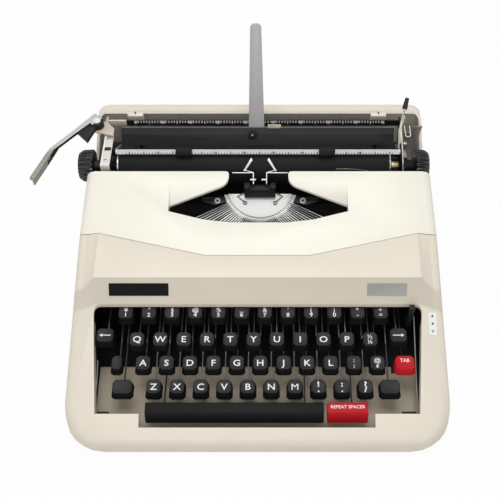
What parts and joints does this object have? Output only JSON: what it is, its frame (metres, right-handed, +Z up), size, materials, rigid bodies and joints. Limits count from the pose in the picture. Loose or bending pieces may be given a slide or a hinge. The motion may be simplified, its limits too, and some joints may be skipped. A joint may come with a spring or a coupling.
{
  "type": "portable manual typewriter",
  "caption": "Portable manual typewriter with a sliding carriage, sprung keys on levers and a hinged top cover.",
  "frame": {"origin": "on the table, under the middle of the outline", "axes": "+X to the machine's right as seen by the typist, +Y to its back, +Z up"},
  "size_m": [0.352, 0.306, 0.2016],
  "materials": {
    "ivory_plastic": "fine grain",
    "beige_plastic": "fine grain",
    "tan_plastic": "fine grain",
    "black_plastic": "satin",
    "red_plastic": "satin",
    "cream_plastic": "satin",
    "black_rubber": "matt",
    "bright_steel": "bright",
    "grey_plastic": "satin",
    "black_paint": "satin"
  },
  "bodies": {
    "frame": {"base_tray": "beige_plastic", "body_shell": "beige_plastic", "keyboard_floor": "tan_plastic", "chassis": "black_paint", "carriage_rail": "bright_steel", "type_segment": "bright_steel", "type_guide": "black_plastic"},
    "key_a": {"key_a": "black_plastic"},
    "key_s": {"key_s": "black_plastic"},
    "key_d": {"key_d": "black_plastic"},
    "key_f": {"key_f": "black_plastic"},
    "key_g": {"key_g": "black_plastic"},
    "key_h": {"key_h": "black_plastic"},
    "key_j": {"key_j": "black_plastic"},
    "key_k": {"key_k": "black_plastic"},
    "key_l": {"key_l": "black_plastic"},
    "key_colon": {"key_colon": "black_plastic"},
    "key_at": {"key_at": "black_plastic"},
    "key_q": {"key_q": "black_plastic"},
    "key_w": {"key_w": "black_plastic"},
    "key_e": {"key_e": "black_plastic"},
    "key_r": {"key_r": "black_plastic"},
    "key_t": {"key_t": "black_plastic"},
    "key_y": {"key_y": "black_plastic"},
    "key_u": {"key_u": "black_plastic"},
    "key_i": {"key_i": "black_plastic"},
    "key_o": {"key_o": "black_plastic"},
    "key_p": {"key_p": "black_plastic"},
    "key_half": {"key_half": "black_plastic"},
    "number_row_keys": {"number_row_keys": "black_plastic"},
    "bottom_row_keys": {"bottom_row_keys": "black_plastic"},
    "shift_key_left": {"shift_key_left": "black_plastic"},
    "shift_key_right": {"shift_key_right": "black_plastic"},
    "shift_lock": {"shift_lock": "black_plastic"},
    "tab_key": {"tab_key": "red_plastic"},
    "backspace_key": {"backspace_key": "black_plastic"},
    "margin_release_key": {"margin_release_key": "black_plastic"},
    "space_bar": {"space_bar": "black_plastic"},
    "repeat_spacer": {"repeat_spacer": "red_plastic"},
    "ribbon_selector": {"ribbon_selector": "black_plastic"},
    "top_cover": {"top_cover": "ivory_plastic"},
    "ribbon_spool_left": {"ribbon_spool_left": "black_plastic"},
    "ribbon_spool_right": {"ribbon_spool_right": "black_plastic"},
    "carriage": {"carriage_frame": "bright_steel", "paper_table": "black_paint"},
    "mainspring_drum": {"mainspring_drum": "bright_steel"},
    "platen": {"platen": "black_rubber", "platen_knob_left": "black_plastic", "platen_knob_right": "black_plastic", "line_space_ratchet": "bright_steel"},
    "feed_roller": {"feed_roller": "black_rubber"},
    "paper_bail": {"paper_bail": "bright_steel"},
    "bail_roller_left": {"bail_roller_left": "black_rubber"},
    "bail_roller_right": {"bail_roller_right": "black_rubber"},
    "paper_support_arm": {"paper_support_arm": "grey_plastic"},
    "return_lever": {"return_lever": "bright_steel"},
    "paper_release_lever": {"paper_release_lever": "cream_plastic"},
    "carriage_release_lever": {"carriage_release_lever": "grey_plastic"},
    "margin_stop_left": {"margin_stop_left": "cream_plastic"},
    "margin_stop_right": {"margin_stop_right": "cream_plastic"}
  },
  "joints": [
    {"name": "key_a_press", "type": "hinge", "parent": "frame", "child": "key_a", "pos_m": [-0.0745, 0.031, 0.052], "axis": [1, 0, 0], "range_deg": [0, 4.58], "stiffness_Nm_per_rad": 0.6, "springref_deg": -3.44},
    {"name": "key_s_press", "type": "hinge", "parent": "frame", "child": "key_s", "pos_m": [-0.05545, 0.031, 0.052], "axis": [1, 0, 0], "range_deg": [0, 4.58], "stiffness_Nm_per_rad": 0.6, "springref_deg": -3.44},
    {"name": "key_d_press", "type": "hinge", "parent": "frame", "child": "key_d", "pos_m": [-0.0364, 0.031, 0.052], "axis": [1, 0, 0], "range_deg": [0, 4.58], "stiffness_Nm_per_rad": 0.6, "springref_deg": -3.44},
    {"name": "key_f_press", "type": "hinge", "parent": "frame", "child": "key_f", "pos_m": [-0.01735, 0.031, 0.052], "axis": [1, 0, 0], "range_deg": [0, 4.58], "stiffness_Nm_per_rad": 0.6, "springref_deg": -3.44},
    {"name": "key_g_press", "type": "hinge", "parent": "frame", "child": "key_g", "pos_m": [0.0017, 0.031, 0.052], "axis": [1, 0, 0], "range_deg": [0, 4.58], "stiffness_Nm_per_rad": 0.6, "springref_deg": -3.44},
    {"name": "key_h_press", "type": "hinge", "parent": "frame", "child": "key_h", "pos_m": [0.02075, 0.031, 0.052], "axis": [1, 0, 0], "range_deg": [0, 4.58], "stiffness_Nm_per_rad": 0.6, "springref_deg": -3.44},
    {"name": "key_j_press", "type": "hinge", "parent": "frame", "child": "key_j", "pos_m": [0.0398, 0.031, 0.052], "axis": [1, 0, 0], "range_deg": [0, 4.58], "stiffness_Nm_per_rad": 0.6, "springref_deg": -3.44},
    {"name": "key_k_press", "type": "hinge", "parent": "frame", "child": "key_k", "pos_m": [0.05885, 0.031, 0.052], "axis": [1, 0, 0], "range_deg": [0, 4.58], "stiffness_Nm_per_rad": 0.6, "springref_deg": -3.44},
    {"name": "key_l_press", "type": "hinge", "parent": "frame", "child": "key_l", "pos_m": [0.0779, 0.031, 0.052], "axis": [1, 0, 0], "range_deg": [0, 4.58], "stiffness_Nm_per_rad": 0.6, "springref_deg": -3.44},
    {"name": "key_colon_press", "type": "hinge", "parent": "frame", "child": "key_colon", "pos_m": [0.09695, 0.031, 0.052], "axis": [1, 0, 0], "range_deg": [0, 4.58], "stiffness_Nm_per_rad": 0.6, "springref_deg": -3.44},
    {"name": "key_at_press", "type": "hinge", "parent": "frame", "child": "key_at", "pos_m": [0.116, 0.031, 0.052], "axis": [1, 0, 0], "range_deg": [0, 4.58], "stiffness_Nm_per_rad": 0.6, "springref_deg": -3.44},
    {"name": "key_q_press", "type": "hinge", "parent": "frame", "child": "key_q", "pos_m": [-0.08, 0.031, 0.052], "axis": [1, 0, 0], "range_deg": [0, 5.31], "stiffness_Nm_per_rad": 0.6, "springref_deg": -3.44},
    {"name": "key_w_press", "type": "hinge", "parent": "frame", "child": "key_w", "pos_m": [-0.06095, 0.031, 0.052], "axis": [1, 0, 0], "range_deg": [0, 5.31], "stiffness_Nm_per_rad": 0.6, "springref_deg": -3.44},
    {"name": "key_e_press", "type": "hinge", "parent": "frame", "child": "key_e", "pos_m": [-0.0419, 0.031, 0.052], "axis": [1, 0, 0], "range_deg": [0, 5.31], "stiffness_Nm_per_rad": 0.6, "springref_deg": -3.44},
    {"name": "key_r_press", "type": "hinge", "parent": "frame", "child": "key_r", "pos_m": [-0.02285, 0.031, 0.052], "axis": [1, 0, 0], "range_deg": [0, 5.31], "stiffness_Nm_per_rad": 0.6, "springref_deg": -3.44},
    {"name": "key_t_press", "type": "hinge", "parent": "frame", "child": "key_t", "pos_m": [-0.0038, 0.031, 0.052], "axis": [1, 0, 0], "range_deg": [0, 5.31], "stiffness_Nm_per_rad": 0.6, "springref_deg": -3.44},
    {"name": "key_y_press", "type": "hinge", "parent": "frame", "child": "key_y", "pos_m": [0.01525, 0.031, 0.052], "axis": [1, 0, 0], "range_deg": [0, 5.31], "stiffness_Nm_per_rad": 0.6, "springref_deg": -3.44},
    {"name": "key_u_press", "type": "hinge", "parent": "frame", "child": "key_u", "pos_m": [0.0343, 0.031, 0.052], "axis": [1, 0, 0], "range_deg": [0, 5.31], "stiffness_Nm_per_rad": 0.6, "springref_deg": -3.44},
    {"name": "key_i_press", "type": "hinge", "parent": "frame", "child": "key_i", "pos_m": [0.05335, 0.031, 0.052], "axis": [1, 0, 0], "range_deg": [0, 5.31], "stiffness_Nm_per_rad": 0.6, "springref_deg": -3.44},
    {"name": "key_o_press", "type": "hinge", "parent": "frame", "child": "key_o", "pos_m": [0.0724, 0.031, 0.052], "axis": [1, 0, 0], "range_deg": [0, 5.31], "stiffness_Nm_per_rad": 0.6, "springref_deg": -3.44},
    {"name": "key_p_press", "type": "hinge", "parent": "frame", "child": "key_p", "pos_m": [0.09145, 0.031, 0.052], "axis": [1, 0, 0], "range_deg": [0, 5.31], "stiffness_Nm_per_rad": 0.6, "springref_deg": -3.44},
    {"name": "key_half_press", "type": "hinge", "parent": "frame", "child": "key_half", "pos_m": [0.1105, 0.031, 0.052], "axis": [1, 0, 0], "range_deg": [0, 5.31], "stiffness_Nm_per_rad": 0.6, "springref_deg": -3.44},
    {"name": "number_row_keys_press", "type": "hinge", "parent": "frame", "child": "number_row_keys", "pos_m": [0.01855, 0.019, 0.058], "axis": [1, 0, 0], "range_deg": [0, 7.52], "stiffness_Nm_per_rad": 6, "springref_deg": -3.44},
    {"name": "bottom_row_keys_press", "type": "hinge", "parent": "frame", "child": "bottom_row_keys", "pos_m": [0.01855, 0.043, 0.046], "axis": [1, 0, 0], "range_deg": [0, 3.72], "stiffness_Nm_per_rad": 6, "springref_deg": -3.44},
    {"name": "shift_key_left_press", "type": "hinge", "parent": "frame", "child": "shift_key_left", "pos_m": [-0.09085, 0.031, 0.052], "axis": [1, 0, 0], "range_deg": [0, 3.23], "stiffness_Nm_per_rad": 1.5, "springref_deg": -3.44},
    {"name": "shift_key_right_press", "type": "hinge", "parent": "frame", "child": "shift_key_right", "pos_m": [0.12575, 0.031, 0.052], "axis": [1, 0, 0], "range_deg": [0, 3.23], "stiffness_Nm_per_rad": 1.5, "springref_deg": -3.44},
    {"name": "shift_lock_press", "type": "hinge", "parent": "frame", "child": "shift_lock", "pos_m": [-0.09595, 0.031, 0.052], "axis": [1, 0, 0], "range_deg": [0, 2.75], "stiffness_Nm_per_rad": 0.6, "springref_deg": -3.44},
    {"name": "tab_key_press", "type": "hinge", "parent": "frame", "child": "tab_key", "pos_m": [0.13835, 0.031, 0.052], "axis": [1, 0, 0], "range_deg": [0, 3.67], "stiffness_Nm_per_rad": 0.6, "springref_deg": -3.44},
    {"name": "backspace_key_press", "type": "hinge", "parent": "frame", "child": "backspace_key", "pos_m": [-0.10645, 0.031, 0.052], "axis": [1, 0, 0], "range_deg": [0, 4.39], "stiffness_Nm_per_rad": 0.6, "springref_deg": -3.44},
    {"name": "margin_release_key_press", "type": "hinge", "parent": "frame", "child": "margin_release_key", "pos_m": [0.13385, 0.031, 0.052], "axis": [1, 0, 0], "range_deg": [0, 4.39], "stiffness_Nm_per_rad": 0.6, "springref_deg": -3.44},
    {"name": "space_bar_press", "type": "hinge", "parent": "frame", "child": "space_bar", "pos_m": [0.01855, 0.031, 0.052], "axis": [1, 0, 0], "range_deg": [0, 2.64], "stiffness_Nm_per_rad": 1.5, "springref_deg": -3.44},
    {"name": "repeat_spacer_press", "type": "hinge", "parent": "frame", "child": "repeat_spacer", "pos_m": [0.09515, 0.031, 0.052], "axis": [1, 0, 0], "range_deg": [0, 2.64], "stiffness_Nm_per_rad": 1, "springref_deg": -3.44},
    {"name": "ribbon_selector_tilt", "type": "hinge", "parent": "frame", "child": "ribbon_selector", "pos_m": [0.14415, -0.003, 0.042], "axis": [1, 0, 0], "range_deg": [-3, 3]},
    {"name": "cover_hinge", "type": "hinge", "parent": "frame", "child": "top_cover", "pos_m": [0.01855, 0.0615, 0.1008], "axis": [1, 0, 0], "range_deg": [-58, 0]},
    {"name": "spool_left_spin", "type": "hinge", "parent": "frame", "child": "ribbon_spool_left", "pos_m": [-0.08645, 0.0355, 0.067], "axis": [0, 0, 1], "continuous": true},
    {"name": "spool_right_spin", "type": "hinge", "parent": "frame", "child": "ribbon_spool_right", "pos_m": [0.12355, 0.0355, 0.067], "axis": [0, 0, 1], "continuous": true},
    {"name": "carriage_slide", "type": "slide", "parent": "frame", "child": "carriage", "axis": [1, 0, 0], "range_m": [-0.1, 0.1]},
    {"name": "mainspring_spin", "type": "hinge", "parent": "frame", "child": "mainspring_drum", "pos_m": [-0.07145, 0.104, 0.06], "axis": [0, 0, 1], "range_deg": [-300, 300]},
    {"name": "platen_turn", "type": "hinge", "parent": "carriage", "child": "platen", "pos_m": [0.01855, 0.084, 0.095], "axis": [1, 0, 0], "continuous": true},
    {"name": "feed_roller_turn", "type": "hinge", "parent": "carriage", "child": "feed_roller", "pos_m": [0.01855, 0.10103, 0.08394], "axis": [1, 0, 0], "continuous": true},
    {"name": "bail_lift", "type": "hinge", "parent": "carriage", "child": "paper_bail", "pos_m": [0.01855, 0.105, 0.0985], "axis": [1, 0, 0], "range_deg": [-45, 0]},
    {"name": "bail_roller_left_turn", "type": "hinge", "parent": "paper_bail", "child": "bail_roller_left", "pos_m": [-0.04705, 0.08079, 0.11525], "axis": [1, 0, 0], "continuous": true},
    {"name": "bail_roller_right_turn", "type": "hinge", "parent": "paper_bail", "child": "bail_roller_right", "pos_m": [0.07845, 0.08079, 0.11525], "axis": [1, 0, 0], "continuous": true},
    {"name": "support_arm_swing", "type": "hinge", "parent": "carriage", "child": "paper_support_arm", "pos_m": [0.01635, 0.10917, 0.1135], "axis": [0, 0.9216, -0.3881], "range_deg": [0, 90]},
    {"name": "return_lever_swing", "type": "hinge", "parent": "carriage", "child": "return_lever", "pos_m": [-0.12745, 0.116, 0.1138], "axis": [0, 0, 1], "range_deg": [0, 28], "stiffness_Nm_per_rad": 0.3, "springref_deg": -8.59},
    {"name": "paper_release", "type": "hinge", "parent": "carriage", "child": "paper_release_lever", "pos_m": [0.14485, 0.097, 0.099], "axis": [1, 0, 0], "range_deg": [0, 25]},
    {"name": "carriage_release", "type": "hinge", "parent": "carriage", "child": "carriage_release_lever", "pos_m": [0.14875, 0.117, 0.104], "axis": [1, 0, 0], "range_deg": [0, 15], "stiffness_Nm_per_rad": 0.2, "springref_deg": -5.73},
    {"name": "margin_stop_left_slide", "type": "slide", "parent": "carriage", "child": "margin_stop_left", "axis": [1, 0, 0], "range_m": [0, 0.095]},
    {"name": "margin_stop_right_slide", "type": "slide", "parent": "carriage", "child": "margin_stop_right", "axis": [1, 0, 0], "range_m": [-0.095, 0]}
  ],
  "couplings": [
    {"joint": "shift_key_right_press", "follows": "shift_key_left_press", "ratio": 1},
    {"joint": "mainspring_spin", "follows": "carriage_slide", "rad_per_m": 45.9},
    {"joint": "feed_roller_turn", "follows": "platen_turn", "ratio": -4},
    {"joint": "bail_roller_left_turn", "follows": "platen_turn", "ratio": -3.8095},
    {"joint": "bail_roller_right_turn", "follows": "platen_turn", "ratio": -3.8095},
    {"joint": "spool_right_spin", "follows": "spool_left_spin", "ratio": 1}
  ]
}
